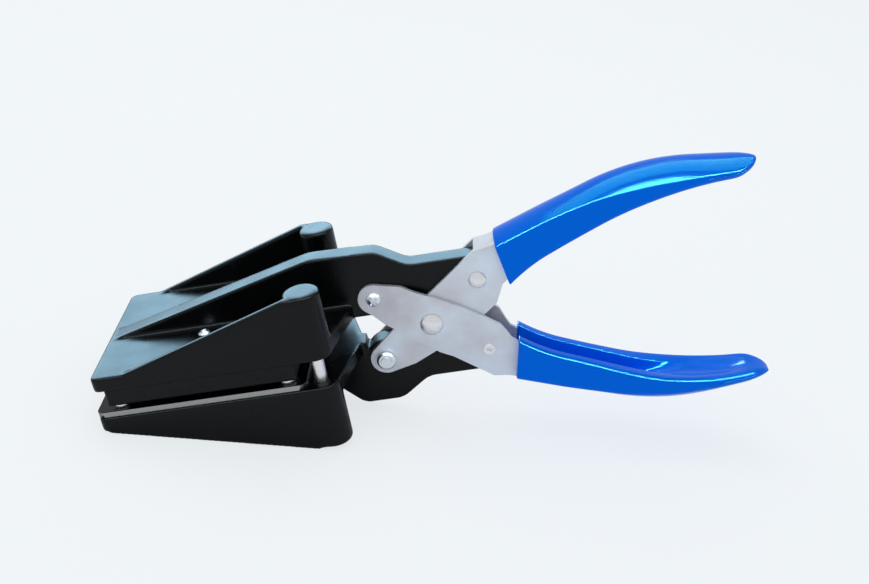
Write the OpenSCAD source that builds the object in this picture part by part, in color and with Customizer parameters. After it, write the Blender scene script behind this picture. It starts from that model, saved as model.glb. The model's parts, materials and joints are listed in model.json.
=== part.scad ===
// Hand-held circle punch for paper and card: two mirrored castings on guide posts,
// a punch and die between them, and a pair of pressed channel handles crossed at one rivet.
// The jaw frame has X from the front lip to the handles, Y across and Z square to the die.
// The whole tool is then tilted so that it stands on the sloped feet of its lower casting.

/* [Head castings] */
// Width across both castings
head_w = 70; // [66:0.5:80]
// Front lip to the axis of the guide posts
post_x = 84.3; // [80:0.1:92]
// Gap between the two casting faces with the tool open
face_gap = 11.4; // [11:0.1:14]
// Thickness of each casting's slab
slab_t = 5.9; // [5.5:0.1:8]
// Flat land at the front of the upper casting before its side walls rise
land_l = 12.7; // [8:0.1:20]
// Thickness of the sloped side walls
wall_t = 3; // [2.4:0.1:4]
// Diameter of the post bosses
boss_d = 13.8; // [12.5:0.1:15]
// Length of the post bosses above the casting face
boss_l = 26.5; // [25:0.1:32]
// Rounding of the boss ends
boss_rim = 1.2; // [0.6:0.1:3]
// Corner radius of the front lip
lip_r = 3; // [1:0.1:6]
// Reach of the lower casting's lip past the upper one
lower_lip = 1.4; // [0:0.1:2]
// Thickness of the centre rib and jaw arm
arm_t = 9; // [7:0.1:11]
// Rise of the upper rib's crest above the slab
crest_rise = 21.2; // [18:0.1:25]
// Depth of the tray under the upper slab
tray_depth = 3.5; // [3.4:0.1:4.2]

/* [Punch and die] */
// Diameter of the cut circle
punch_d = 50.8; // [38:0.1:54]
// Thickness of the die plate
plate_t = 2.2; // [1.6:0.1:2.6]
// Height of the paper slot over the die plate
slot_h = 1.5; // [1:0.1:1.8]
// Length of the closing stroke
stroke = 3; // [2.4:0.1:3.1]
// Inset of the guide block from the lip
block_lip = 3.4; // [3:0.1:6]
// Inset of the guide block from each side
block_side = 2; // [1.8:0.1:4]
// Inset of the die plate from each side
plate_side = 1; // [0.5:0.1:2]
// Reach of the die plate past the lower casting's lip
plate_lip = 0.2; // [0:0.1:0.6]
// Depth of the hollow ground into the punch face
shear_depth = 0.7; // [0.3:0.1:1.2]
// Diameter of the slot spacers
spacer_d = 7.2; // [6:0.1:8]
// Inset of the slot spacers from the block's ends
spacer_inset = 4.2; // [4:0.1:6]
// Shank diameter of the die and punch screws
screw_d = 3; // [2.5:0.1:3.5]
// Distance between the two punch screws
punch_screw_gap = 19.6; // [14:0.1:24]

/* [Guides and springs] */
// Diameter of the guide posts
post_d = 5; // [4.4:0.1:5.8]
// Depth of the posts in the lower bosses
post_seat = 20; // [12:0.5:21]
// Outside diameter of the post bushes
bush_d = 8; // [7.4:0.1:9]
// Length of the post bushes
bush_l = 10; // [8:0.1:11]
// Reach of the bushes below the upper casting's face
bush_proud = 0.8; // [0:0.1:1.2]
// Reach of the posts past the bushes with the tool open
post_reach = 2; // [1:0.1:3]
// Wire diameter of the return springs
spring_wire = 0.8; // [0.6:0.05:0.9]
// Outside diameter of the return springs
spring_d = 5.2; // [4.6:0.1:5.4]
// Turns in each return spring
spring_turns = 6; // [4:1:7]

/* [Linkage] */
// Guide post axis to the front pins
pin_setback = 22.3; // [21:0.1:26]
// Front pins to the main rivet, and main rivet to the rear pins
pin_span = 20.2; // [18:0.1:24]
// Front pins to the rear edge of the lower slab's heel
heel_back = 7; // [6:0.1:9]
// Radius of the arm's eye round each front pin
eye_r = 7.5; // [6.5:0.1:9]
// Height of the jaw arm along the handles
arm_h = 19; // [17:0.1:22]
// Radius of the arm's rear end inside the channel
tail_eye_r = 6; // [5:0.1:6.2]
// Diameter of the front pins
front_pin_d = 4; // [3:0.1:4.4]
// Outside diameter of the slide rollers
roller_d = 6; // [5.4:0.1:7]
// Diameter of the rear pins
rear_pin_d = 4.2; // [3.4:0.1:5]
// Shank diameter of the main rivet
rivet_d = 5.2; // [4:0.1:6]
// Head diameter of the main rivet
rivet_head_d = 8.8; // [7:0.1:10]
// Outside diameter of the spacer sleeve on the main rivet
sleeve_d = 7; // [6.4:0.1:7.6]

/* [Handles] */
// Thickness of the handle sheet
sheet = 1.6; // [1.4:0.1:2]
// Radius of the handle's front lobe
lobe_r = 6.2; // [5.4:0.1:7]
// Main rivet to the tip of the grips
handle_l = 128; // [118:0.1:140]
// Length of each bend that steps a plate inwards
joggle_l = 5; // [3:0.1:5.4]
// Length of handle channel inside the grip
channel_l = 68; // [50:0.5:72]

/* [Grips] */
// Vinyl thickness over the channel's back and rims
vinyl_t = 1.1; // [0.8:0.1:2]
// Vinyl thickness beside the channel at the grip's root
vinyl_side = 3.1; // [2:0.1:3.6]
// Vinyl thickness inside the channel
lining_t = 0.6; // [0.4:0.1:1.4]
// Swell of the grip's half width where the palm lies
grip_swell = 1.8; // [0:0.1:3]
// Greatest height of the grip's back above the main rivet
back_h = 50.1; // [47:0.1:52]
// Greatest height of the grip's rim above the main rivet
rim_h = 41.1; // [39:0.1:43]
// Flare of the grip's rim at its root
root_flare = 3.1; // [0:0.1:4]
// Rise of the domed back over its side edges at the grip's root
root_dome = 2; // [1:0.1:2.5]
// Rise of the domed back over its side edges where the palm lies
palm_dome = 5.2; // [2:0.1:5.6]
// Rounding of the back's side edges
back_r = 2.4; // [1.5:0.1:4]

/* [Fits] */
// Radial clearance of turning and sliding fits
run_gap = 0.05; // [0.02:0.01:0.1]
// Radial clearance in the upper arm's rear hole
open_gap = 0.15; // [0.1:0.01:0.25]
// Clearance of pressed and screwed fits
press_gap = 0.01; // [0.005:0.005:0.02]
// Side clearance between arm and handle plates
side_gap = 0.1; // [0.05:0.05:0.3]
// Room for the guide block inside the upper tray
tray_gap = 0.3; // [0.2:0.05:0.5]
// Gap at the handles' open stop
stop_gap = 0.25; // [0.15:0.05:0.5]

/* [Hidden] */
$fn = 48;

paint = [0.09, 0.095, 0.10];
steel = [0.74, 0.75, 0.77];
dark_steel = [0.22, 0.22, 0.23];
silver = [0.80, 0.80, 0.82];
bronze = [0.72, 0.55, 0.30];
blue = [0.02, 0.27, 0.78];

// Heights in the jaw frame, where Z = 0 is the plane of symmetry with the tool open
face_z = face_gap / 2;
slab_z = face_z + slab_t;
boss_z = face_z + boss_l;
boss_r = boss_d / 2;
boss_y = head_w / 2 - boss_r;
tray_z = face_z + tray_depth;

// Slope of a side wall: a line from its front that just touches the boss end's rounding
rim_mid = [post_x - boss_r + boss_rim, boss_z - boss_rim];
function wall_slope(x) =
    let (run = rim_mid - [x, slab_z]) atan2(run.y, run.x) + asin(boss_rim / norm(run));
tilt = wall_slope(-lower_lip);

// Die set
plate_z = -face_z + plate_t;
block_z0 = plate_z + slot_h;
block_gap = 0.2;
block_z1 = tray_z - stroke - block_gap;
block_x0 = block_lip;
block_boss_gap = 1;
block_x1 = post_x - boss_r - block_boss_gap;
block_w = head_w - 2 * block_side;
plate_x0 = -lower_lip - plate_lip;
plate_post_gap = 2.4;
plate_x1 = post_x - post_d / 2 - plate_post_gap;
plate_corner_r = 3;
plate_w = head_w - 2 * plate_side;
punch_x = (block_x0 + block_x1) / 2;
punch_z = block_z0 + block_gap;
window_room = 1;
window_r = punch_d / 2 + window_room;
screw_head_r = screw_d * 0.9;
screw_head_h = 2.4;
screw_grip = 5;
screw_tail = 0.5;
screw_wall_gap = 0.7;
hex_r = screw_d * 0.48;
hex_depth = 1.3;
punch_head_r = screw_d * 0.8;
punch_hex_r = screw_d * 0.35;
punch_hex_floor = punch_head_r * 0.2;
spacer_x = [block_x0 + spacer_inset, block_x1 - spacer_inset];
spacer_y = head_w / 2 - wall_t - screw_head_r - screw_wall_gap;
counterbore_gap = 0.2;
shear_rim = 1.2;
shear_land_r = 4;

// Guides
post_top = face_z + bush_l + post_reach;
boss_cap = 2.6;
spring_top = boss_z - boss_cap;
spring_room = 0.4;
spring_bore_r = spring_d / 2 + spring_room;
post_tip = 0.8;

// Linkage: front pins, main rivet and rear pins
front_x = post_x + pin_setback;
pivot_x = front_x + pin_span;
rear_x = pivot_x + pin_span;
front_z = face_z + eye_r;
arm_z = face_z + arm_h;
rear_z = face_z + arm_h / 2;
rear_lean = atan2(rear_z, pin_span);
close_angle = rear_lean + asin((stroke / 2 - rear_z) / norm([pin_span, rear_z]));
slide = (rear_z + front_z) * sin(close_angle) - 2 * pin_span * (1 - cos(close_angle));
slot_end = 0.15;
heel_x = front_x - heel_back;
lobe_gap = 0.9;
slab_end = front_x - slide - lobe_r - lobe_gap;

// Rib and arm: where the crest falls to the arm, and the roundings along the outline
shoulder = [front_x + 3.4, arm_z + 7.2];
shoulder_foot = front_x + 14.9;
upper_crest_r = 20;
lower_crest_r = 6;
shoulder_r = 8;
foot_r = 9;
arm_end_r = 0.8;
arm_heel_r = 4;
upper_rib_x = 1.5;
lower_rib_gap = 6.7;
lower_crest_back = 9.8;

// Handle layers across Y
in_y = arm_t / 2 + side_gap;
mid_y = in_y + sheet;
out_y = mid_y + side_gap;
top_y = out_y + sheet;

// Handle sheet and grip outlines, from the main rivet, for the upper handle
strap = 9.2;
web_lift = 0.7;
channel_gap = 4.1;
lean = atan2(rear_z + front_z, 2 * pin_span);
back_root = 28.4;
back_crest = handle_l - 33.2;
back_bend_r = 85;
back_rise_angle = 20.3;
back_fall_angle = 6.8;
rim_root = 32.2;
rim_crest = handle_l - 12.1;
rim_bend_r = 116;
rim_rise_angle = 24;
rim_fall_angle = 0.5;
flare_l = 16;
rim_short = 1.6;
rim_r = 1.2;
grip_half = mid_y + vinyl_side;
trough_half = in_y - lining_t;
trough_floor = vinyl_t + sheet + lining_t;
trough_end = [74, 89];
dish = 0.9;
swell_span = [50, 89];
dome_span = [44, 88];
tip_from = handle_l - 42;
tip_draw = 3.4;
tip_r = 8.5;
tip_cut = 0.92;
stations = 32;

// Rivet heads, pin ends, screw heads and nuts
rivet_head_h = 1.6;
arm_head_r = 3.4;
arm_head_h = 1.3;
collar = 0.25;
collar_h = 0.5;
pin_dimple_r = rear_pin_d * 0.25;
pin_dimple = 1.5;
pan_r = front_pin_d / 2 + 1.1;
pan_h = 1.9;
cross_w = 0.7;
cross_depth = 1.1;
nut_r = front_pin_d / 2 + 1.8;
nut_h = 2.4;
nut_bevel = 0.8;
thread_end = 0.4;

// Where the tool stands and where its middle lies
front_reach = -slab_z * sin(tilt);
tip_z = back_edge(handle_l);
rear_reach = (pivot_x + handle_l) * cos(tilt) + tip_z * sin(tilt);
origin_x = (front_reach + rear_reach) / 2;
rest_z = slab_z * cos(tilt) + lower_lip * sin(tilt);

echo(tilt = tilt, close_angle = close_angle, slide = slide);
echo(origin_x = origin_x, rest_z = rest_z, front_x = front_x, pivot_x = pivot_x, rear_x = rear_x);

// Points and curves

function unit(v) = v / norm(v);

// One rounded corner of an outline, as points on its arc
function corner(a, b, c, r, steps) =
    let (u = unit(a - b), v = unit(c - b), half = acos(u * v) / 2,
         mid = b + unit(u + v) * r / sin(half),
         p = b + u * r / tan(half) - mid,
         q = b + v * r / tan(half) - mid,
         turn = atan2(p.x * q.y - p.y * q.x, p * q),
         start = atan2(p.y, p.x))
    [for (i = [0 : steps]) mid + r * [cos(start + turn * i / steps), sin(start + turn * i / steps)]];

// A closed outline from [x, y, corner radius] rows
function rounded(rows, steps = 6) =
    let (n = len(rows), xy = [for (row = rows) [row.x, row.y]])
    [for (i = [0 : n - 1])
        each rows[i][2] > 0
            ? corner(xy[(i + n - 1) % n], xy[i], xy[(i + 1) % n], rows[i][2], steps)
            : [xy[i]]];

// A rising line, an arc over a crest, and a falling line
function bend(x, crest_x, crest_z, r, rise, fall) =
    let (x0 = crest_x - r * sin(rise), x1 = crest_x + r * sin(fall))
    x < x0 ? crest_z - r + r * cos(rise) - (x0 - x) * tan(rise)
    : x > x1 ? crest_z - r + r * cos(fall) - (x - x1) * tan(fall)
    : crest_z - r + sqrt(r * r - (x - crest_x) * (x - crest_x));

function back_edge(x) =
    bend(x, back_crest, back_h, back_bend_r, back_rise_angle, back_fall_angle);
function rim_edge(x) =
    bend(x, rim_crest, rim_h, rim_bend_r, rim_rise_angle, rim_fall_angle)
    - root_flare * pow(max(0, 1 - (x - rim_root) / flare_l), 2);

// Back and rim of the grip at a share of its length
function back_at(t) = let (x = back_root + (handle_l - back_root) * t) [x, back_edge(x)];
function rim_at(t) =
    let (x = rim_root + (handle_l - rim_short - rim_root) * t) [x, rim_edge(x)];
function ease(a, b, x) = let (t = max(0, min(1, (x - a) / (b - a)))) t * t * (3 - 2 * t);

// Half width of the grip: it swells under the palm, is drawn in again and ends in a round tip
function grip_w(x) =
    let (drawn = max(0, (x - tip_from) / (handle_l - tip_from)),
         past = max(0, (x - handle_l) / tip_r + 1))
    (grip_half + grip_swell * ease(swell_span[0], swell_span[1], x) - tip_draw * drawn * drawn)
    * sqrt(1 - tip_cut * past * past);

// Rise of the domed back over its side edges, and how far the dome falls over the web's corner
function dome_at(x) = root_dome + (palm_dome - root_dome) * ease(dome_span[0], dome_span[1], x);
function corner_fall(x) = dome_at(x) * pow(mid_y / grip_w(min(x, handle_l - tip_r)), 2);

// Half of the grip's section, from the middle of its back round the rim to the trough's floor
function half_section(t, d) =
    let (x = back_at(t).x,
         w = grip_w(x),
         inner = min(trough_half, 0.45 * w),
         full = max(dish, d - trough_floor - corner_fall(x)),
         depth = max(dish, full * (1 - ease(trough_end[0], trough_end[1], x))),
         rise = min(dome_at(x), 0.5 * d),
         rc = min(back_r, 0.3 * d, 0.5 * w),
         rr = min(rim_r, 0.45 * depth),
         slope = atan(2 * rise / (w - rc / 2)),
         edge = w - rc * (1 - sin(slope)),
         mid = d - rise - rc * cos(slope))
    concat(
        [for (k = [0 : 2]) [edge * k / 3, d - rise * k * k / 9]],
        [for (k = [0 : 4])
            let (a = (90 - slope) * (1 - k / 4)) [w - rc + rc * cos(a), mid + rc * sin(a)]],
        [for (a = [0 : -45 : -90]) [w - rr + rr * cos(a), rr + rr * sin(a)]],
        [for (a = [-90 : -45 : -180]) [inner + rr + rr * cos(a), rr + rr * sin(a)]],
        [for (a = [0 : 22.5 : 90]) [inner - rr + rr * cos(a), depth - rr + rr * sin(a)]],
        [[0, depth]]);

// Share of the grip's length for a share of its rings, which lie closer towards the tip
function station(s) = s * (3 - s * s) / 2;

// One closed ring of the grip, as points in the jaw frame about the main rivet
function grip_ring(t) =
    let (o = back_at(t), i = rim_at(t), d = norm(o - i), up = (o - i) / d,
         half = half_section(t, d), n = len(half))
    concat(
        [for (p = half) [i.x + up.x * p.y, -p.x, i.y + up.y * p.y]],
        [for (k = [n - 2 : -1 : 1]) [i.x + up.x * half[k].y, half[k].x, i.y + up.y * half[k].y]]);

// Triangles of a tube of rings, each with m points
function skin(rings, m) =
    [for (i = [0 : rings - 2], k = [0 : m - 1])
        let (a = i * m + k, b = i * m + (k + 1) % m)
        each [[a, b, b + m], [a, b + m, a + m]]];

// Triangles that close one end of the grip, between its back and its trough
function end_cap(base, m) =
    let (h = m / 2)
    [for (k = [0 : (h - 3) / 2])
        each [
            [base + k, base + k + 1, base + h - 1 - k],
            [base + k, base + h - 1 - k, base + h - k],
            [base + h + k, base + h + 1 + k, base + m - 1 - k],
            [base + h + k, base + m - 1 - k, base + (m - k) % m]
        ]];
function turned(faces) = [for (f = faces) [f[0], f[2], f[1]]];

// Centre line of a return spring
spring_end_gap = 0.1;
spring_z0 = post_top + spring_wire / 2 + spring_end_gap;
spring_z1 = spring_top - spring_wire / 2 - spring_end_gap;
spring_pitch = (spring_z1 - spring_z0) / spring_turns;
spring_r = (spring_d - spring_wire) / 2;
turn_steps = 8;
turn_step = 360 / turn_steps;
spring_line = [for (i = [0 : spring_turns * turn_steps])
    [spring_r * cos(i * turn_step), spring_r * sin(i * turn_step),
     spring_z0 + spring_pitch * i / turn_steps]];
echo(spring_gap = min([for (i = [0 : len(spring_line) - turn_steps - 1])
    norm(spring_line[i + turn_steps] - spring_line[i])]) - spring_wire);

// Shared shapes

// Puts the jaw frame where the tool stands
module stand() {
    translate([-origin_x, 0, rest_z]) rotate([0, -tilt, 0]) children();
}

// Turns an outline drawn in X and Z into a plate between two Y values
module plate_xz(y0, y1) {
    translate([0, y1, 0]) rotate([90, 0, 0]) linear_extrude(y1 - y0) children();
}

// A cylinder along Y
module rod_y(x, z, r, y0, y1) {
    translate([x, y0, z]) rotate([-90, 0, 0]) cylinder(r = r, h = y1 - y0);
}

// A button head on a rod along Y, with a rounded rim
module dome_y(x, z, r, y, h, side) {
    sphere_r = (r * r + h * h) / (2 * h);
    translate([x, y, z]) rotate([-90 * side, 0, 0]) intersection() {
        translate([0, 0, h - sphere_r]) sphere(r = sphere_r);
        cylinder(r = r, h = h);
    }
}

module both_sides() {
    for (side = [-1, 1]) scale_y(side) children();
}

module scale_y(side) {
    if (side < 0) mirror([0, 1, 0]) children();
    else children();
}

// Casting

module slab_plan(lip) {
    edge = head_w / 2;
    difference() {
        union() {
            polygon(rounded([
                [-lip, -edge, lip_r], [post_x, -edge, 0], [post_x + boss_r, -boss_y, 0],
                [slab_end, -arm_t / 2, 0], [slab_end, arm_t / 2, 0],
                [post_x + boss_r, boss_y, 0], [post_x, edge, 0], [-lip, edge, lip_r]
            ]));
            for (side = [-1, 1]) translate([post_x, side * boss_y]) circle(boss_r);
        }
        for (side = [-1, 1]) translate([post_x, side * boss_y])
            difference() {
                translate([0, side > 0 ? 0 : -2 * boss_r]) square([2 * boss_r, 2 * boss_r]);
                circle(boss_r);
            }
    }
}

module boss() {
    translate([0, 0, face_z]) rotate_extrude() {
        square([boss_r - boss_rim, boss_l]);
        square([boss_r, boss_l - boss_rim]);
        translate([boss_r - boss_rim, boss_l - boss_rim]) intersection() {
            circle(boss_rim);
            square(boss_rim);
        }
    }
}

// Sloped side wall on a line from the slab at line_x up to the boss, present from front_x
module side_wall(line_x, front_x) {
    slope = wall_slope(line_x);
    plate_xz(head_w / 2 - wall_t, head_w / 2) polygon([
        [front_x, slab_z + (front_x - line_x) * tan(slope)],
        rim_mid + boss_rim * [-sin(slope), cos(slope)],
        [post_x, boss_z - boss_rim], [post_x, face_z + 1], [front_x, face_z + 1]
    ]);
}

// Rib and jaw arm in one plate: the rib rises from the slab at rib_x to its crest and runs back to
// the shoulder; the inner edge meets the slab's heel at the heel points
module arm(rib_x, crest, crest_r, shoulder_z, heel) {
    web_front = channel_start() + [pivot_x, 0];
    end_x = web_front.x + (web_front.y - arm_z) * tan(lean) - stop_gap / cos(lean);
    difference() {
        plate_xz(-arm_t / 2, arm_t / 2) {
            polygon(rounded(concat([
                [rib_x, slab_z - 1, 0], [rib_x, slab_z, 0], [crest.x, crest.y, crest_r],
                [shoulder.x, shoulder_z, shoulder_r], [shoulder_foot, arm_z, foot_r],
                [end_x, arm_z, arm_end_r], [end_x, face_z, arm_heel_r], [front_x, face_z, 0]
            ], heel)));
            translate([front_x, front_z]) circle(eye_r);
            translate([rear_x, rear_z]) circle(tail_eye_r);
        }
        // Slot for the slide roller
        slot_r = roller_d / 2 + run_gap;
        plate_xz(-arm_t, arm_t) {
            for (x = [front_x - slide - slot_end, front_x + slot_end])
                translate([x, front_z]) circle(slot_r);
            translate([front_x - slide - slot_end, front_z - slot_r])
                square([slide + 2 * slot_end, 2 * slot_r]);
        }
    }
}

module casting(lip, line_x, front_x) {
    translate([0, 0, face_z]) linear_extrude(slab_t) slab_plan(lip);
    both_sides() {
        translate([post_x, boss_y, 0]) boss();
        side_wall(line_x, front_x);
    }
}

module upper_head() {
    color(paint) stand() difference() {
        union() {
            casting(0, land_l, land_l);
            arm(upper_rib_x, [post_x, slab_z + crest_rise], upper_crest_r, shoulder.y,
                [[slab_end - 1, face_z, 0], [slab_end - 1, slab_z - 1, 0]]);
        }
        translate([block_x0 - tray_gap, -block_w / 2 - tray_gap, face_z - 1])
            cube([block_x1 - block_x0 + 2 * tray_gap, block_w + 2 * tray_gap, tray_depth + 1]);
        both_sides() translate([post_x, boss_y, face_z - 1]) {
            cylinder(r = bush_d / 2 + press_gap, h = bush_l + 1);
            cylinder(r = spring_bore_r, h = spring_top - face_z + 1);
        }
        both_sides() translate([punch_x, punch_screw_gap / 2, tray_z - 1])
            cylinder(r = screw_d / 2 + press_gap, h = slab_t);
        rod_y(rear_x, rear_z, rear_pin_d / 2 + open_gap, -arm_t, arm_t);
    }
}

module lower_head() {
    rib_x = punch_x + window_r + lower_rib_gap;
    crest = [post_x + lower_crest_back, slab_z + crest_rise];
    color(paint) stand() difference() {
        mirror([0, 0, 1]) union() {
            casting(lower_lip, -lower_lip, lip_r - lower_lip);
            arm(rib_x, crest, lower_crest_r, crest.y, [
                [front_x - eye_r, front_z, 0], [heel_x, slab_z, 0], [heel_x, face_z, 0],
                [slab_end - 1, face_z, 0]
            ]);
        }
        translate([punch_x, 0, -slab_z - 1]) cylinder(r = window_r, h = slab_t + 2);
        both_sides() translate([post_x, boss_y, -face_z - post_seat])
            cylinder(r = post_d / 2 + press_gap, h = post_seat + 1);
        die_screw_places(-slab_z - 1) {
            cylinder(r = screw_d / 2 + press_gap, h = slab_t + 2);
            cylinder(r = screw_head_r + counterbore_gap, h = screw_head_h + 1);
        }
        rod_y(rear_x, -rear_z, rear_pin_d / 2 + run_gap, -arm_t, arm_t);
    }
}

// Die set

module die_screw_places(z) {
    for (x = spacer_x, y = [-spacer_y, spacer_y]) translate([x, y, z]) children();
}

module die_plate() {
    color(steel) stand() translate([0, 0, -face_z]) linear_extrude(plate_t) difference() {
        polygon(rounded([
            [plate_x0, -plate_w / 2, plate_corner_r], [plate_x1, -plate_w / 2, plate_corner_r],
            [plate_x1, plate_w / 2, plate_corner_r], [plate_x0, plate_w / 2, plate_corner_r]
        ]));
        translate([punch_x, 0]) circle(punch_d / 2 + run_gap);
        for (x = spacer_x, y = [-spacer_y, spacer_y])
            translate([x, y]) circle(screw_d / 2 + press_gap);
    }
}

module guide_block() {
    color(dark_steel) stand() difference() {
        translate([block_x0, -block_w / 2, block_z0])
            cube([block_x1 - block_x0, block_w, block_z1 - block_z0]);
        translate([punch_x, 0, block_z0 - 1])
            cylinder(r = punch_d / 2 + run_gap, h = block_z1 - block_z0 + 2);
        die_screw_places(block_z0 - 1)
            cylinder(r = screw_d / 2 + press_gap, h = screw_grip + screw_tail + 1);
    }
}

module slot_spacers() {
    color(steel) stand() die_screw_places(plate_z) difference() {
        cylinder(d = spacer_d, h = slot_h);
        translate([0, 0, -1]) cylinder(r = screw_d / 2 + press_gap, h = slot_h + 2);
    }
}

module die_screws() {
    color(dark_steel) stand() die_screw_places(-slab_z) difference() {
        union() {
            cylinder(r = screw_head_r, h = screw_head_h);
            cylinder(d = screw_d, h = slab_z + block_z0 + screw_grip);
        }
        translate([0, 0, -1]) cylinder(r = hex_r, h = hex_depth + 1, $fn = 6);
    }
}

module punch() {
    color(steel) stand() translate([punch_x, 0, punch_z]) difference() {
        cylinder(d = punch_d, h = tray_z - punch_z);
        translate([0, 0, -press_gap])
            cylinder(r1 = punch_d / 2 - shear_rim, r2 = shear_land_r, h = shear_depth);
        both_sides() translate([0, punch_screw_gap / 2, tray_z - punch_z - screw_grip - screw_tail])
            cylinder(r = screw_d / 2 + press_gap, h = screw_grip + screw_tail + 1);
    }
}

module punch_screws() {
    shank_l = slab_z - tray_z + screw_grip;
    color(steel) stand() both_sides() translate([punch_x, punch_screw_gap / 2, slab_z]) {
        translate([0, 0, -shank_l]) cylinder(d = screw_d, h = shank_l);
        difference() {
            intersection() {
                cylinder(r = punch_head_r, h = punch_head_r);
                translate([0, 0, -punch_head_r]) sphere(r = punch_head_r * 1.5);
            }
            translate([0, 0, punch_hex_floor]) cylinder(r = punch_hex_r, h = punch_head_r, $fn = 6);
        }
    }
}

// Guides

module guide_post(side) {
    straight = post_top + face_z + post_seat - post_tip;
    color(steel) stand() translate([post_x, side * boss_y, -face_z - post_seat]) {
        cylinder(d = post_d, h = straight);
        translate([0, 0, straight])
            cylinder(r1 = post_d / 2, r2 = post_d / 2 - post_tip, h = post_tip);
    }
}

module post_bush(side) {
    length = bush_l + bush_proud;
    color(bronze) stand() translate([post_x, side * boss_y, face_z - bush_proud]) difference() {
        cylinder(d = bush_d, h = length);
        translate([0, 0, -1]) cylinder(r = post_d / 2 + run_gap, h = length + 2);
    }
}

module return_spring(side) {
    sides = 6;
    rings = len(spring_line);
    last = (rings - 1) * sides;
    points = [for (i = [0 : rings - 1], k = [0 : sides - 1])
        let (a = i * turn_step, b = k * 360 / sides, r = spring_wire / 2)
        spring_line[i] + r * [cos(a) * cos(b), sin(a) * cos(b), sin(b)]];
    caps = [for (k = [1 : sides - 2])
        each [[0, k + 1, k], [last, last + k, last + k + 1]]];
    color(steel) stand() translate([post_x, side * boss_y, 0])
        polyhedron(points, concat(skin(rings, sides), caps));
}

// Handles, drawn about the main rivet for the upper one

function channel_start() =
    let (along = [cos(lean), sin(lean)], out = [-sin(lean), cos(lean)])
    [pin_span, rear_z] + out * (strap + web_lift) + along * (strap - tail_eye_r + channel_gap);

// Outer edge of the steel at a share of the grip's length, and its inner edge
function steel_at(t, sunk) =
    let (o = back_at(t), i = rim_at(t)) o - unit(o - i) * (vinyl_t + corner_fall(o.x) + sunk);
function steel_back(t) = steel_at(t, 0);
function steel_web(t) = steel_at(t, sheet);
function steel_rim(t) = let (o = back_at(t), i = rim_at(t)) i + unit(o - i) * 2 * vinyl_t;

steel_steps = 12;
steel_share = channel_l / (handle_l - back_root);
steel_lead = 0.025;
steel_ts = [for (k = [0 : steel_steps]) (steel_share + steel_lead) * k / steel_steps - steel_lead];

// Side plate of a handle: front lobe, strap and the sides of the channel
module plate_outline() {
    front = [-pin_span, -front_z];
    rear = [pin_span, rear_z];
    belly = [rear + [5.8, -10.9], rear + [-0.8, -16], rear + [-8.1, -21.1], [1.5, -11.8], [-9.1, -16.9]];
    lobe_steps = 16;
    lobe_from = 279;
    lobe_turn = lean + 90 - lobe_from;
    polygon(concat(
        [for (k = [0 : lobe_steps])
            let (a = lobe_from + lobe_turn * k / lobe_steps) front + lobe_r * [cos(a), sin(a)]],
        [[-sin(lean), cos(lean)] * strap, channel_start()],
        [for (t = steel_ts) steel_back(t)],
        [for (k = [steel_steps : -1 : 0]) steel_rim(steel_ts[k])],
        belly));
}

// Web along the back of the channel, ending one step short of the side plates
module web_outline() {
    inward = [sin(lean), -cos(lean)] * sheet;
    last = steel_steps - 1;
    polygon(concat(
        [channel_start()],
        [for (k = [0 : last]) steel_back(steel_ts[k])],
        [for (k = [last : -1 : 0]) steel_web(steel_ts[k])],
        [channel_start() + inward]));
}

module handle_holes(y) {
    rod_y(0, 0, rivet_d / 2 + run_gap, -y, y);
    rod_y(pin_span, rear_z, rear_pin_d / 2 + press_gap, -y, y);
    rod_y(-pin_span, -front_z, front_pin_d / 2 + press_gap, -y, y);
}

module straight_handle() {
    difference() {
        union() {
            both_sides() plate_xz(in_y, mid_y) plate_outline();
            plate_xz(-mid_y, mid_y) web_outline();
        }
        handle_holes(2 * top_y);
    }
}

// Bend lines of the outer plates: a point on the line and the angle along it
front_bend = [[-pin_span, -front_z] + [13.8, 0.6], -40];
rear_bend = [[pin_span, rear_z] + [-5.8, -7.1], 161];

// Everything between the middle and a level that steps inwards along a bend line
module under(bend_line, level) {
    reach = 200;
    step = out_y - in_y;
    translate([bend_line[0].x, 0, bend_line[0].y]) rotate([0, 90 - bend_line[1], 0])
        translate([0, 0, -reach]) linear_extrude(2 * reach) polygon([
            [-reach, -sheet], [-reach, level], [0, level],
            [joggle_l, level - step], [reach, level - step], [reach, -sheet]
        ]);
}

// Plate in the outer layer round the main rivet and in the inner layer at both pins
module stepped_plate() {
    difference() {
        intersection() {
            plate_xz(0, 2 * top_y) plate_outline();
            under(front_bend, top_y);
            under(rear_bend, top_y);
        }
        intersection() {
            under(front_bend, out_y);
            under(rear_bend, out_y);
        }
    }
}

module stepped_handle() {
    difference() {
        union() {
            both_sides() stepped_plate();
            plate_xz(-mid_y, mid_y) web_outline();
        }
        handle_holes(2 * top_y);
    }
}

// Dipped vinyl grip with the channel's sheet left out of it
module grip() {
    ring = len(grip_ring(0));
    points = [for (i = [0 : stations]) each grip_ring(station(i / stations))];
    faces = concat(
        skin(stations + 1, ring), turned(end_cap(0, ring)), end_cap(stations * ring, ring));
    difference() {
        polyhedron(points, faces);
        both_sides() plate_xz(in_y, mid_y) plate_outline();
        plate_xz(-mid_y, mid_y) web_outline();
    }
}

module at_pivot() {
    stand() translate([pivot_x, 0, 0]) children();
}

module upper_handle() {
    color(silver) at_pivot() straight_handle();
}

module lower_handle() {
    color(silver) at_pivot() mirror([0, 0, 1]) stepped_handle();
}

module upper_grip() {
    color(blue) at_pivot() grip();
}

module lower_grip() {
    color(blue) at_pivot() mirror([0, 0, 1]) grip();
}

// Pins, screws and rollers

module main_rivet() {
    color(steel) at_pivot() {
        rod_y(0, 0, rivet_d / 2, -top_y, top_y);
        for (side = [-1, 1]) dome_y(0, 0, rivet_head_d / 2, side * top_y, rivet_head_h, side);
    }
}

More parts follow.
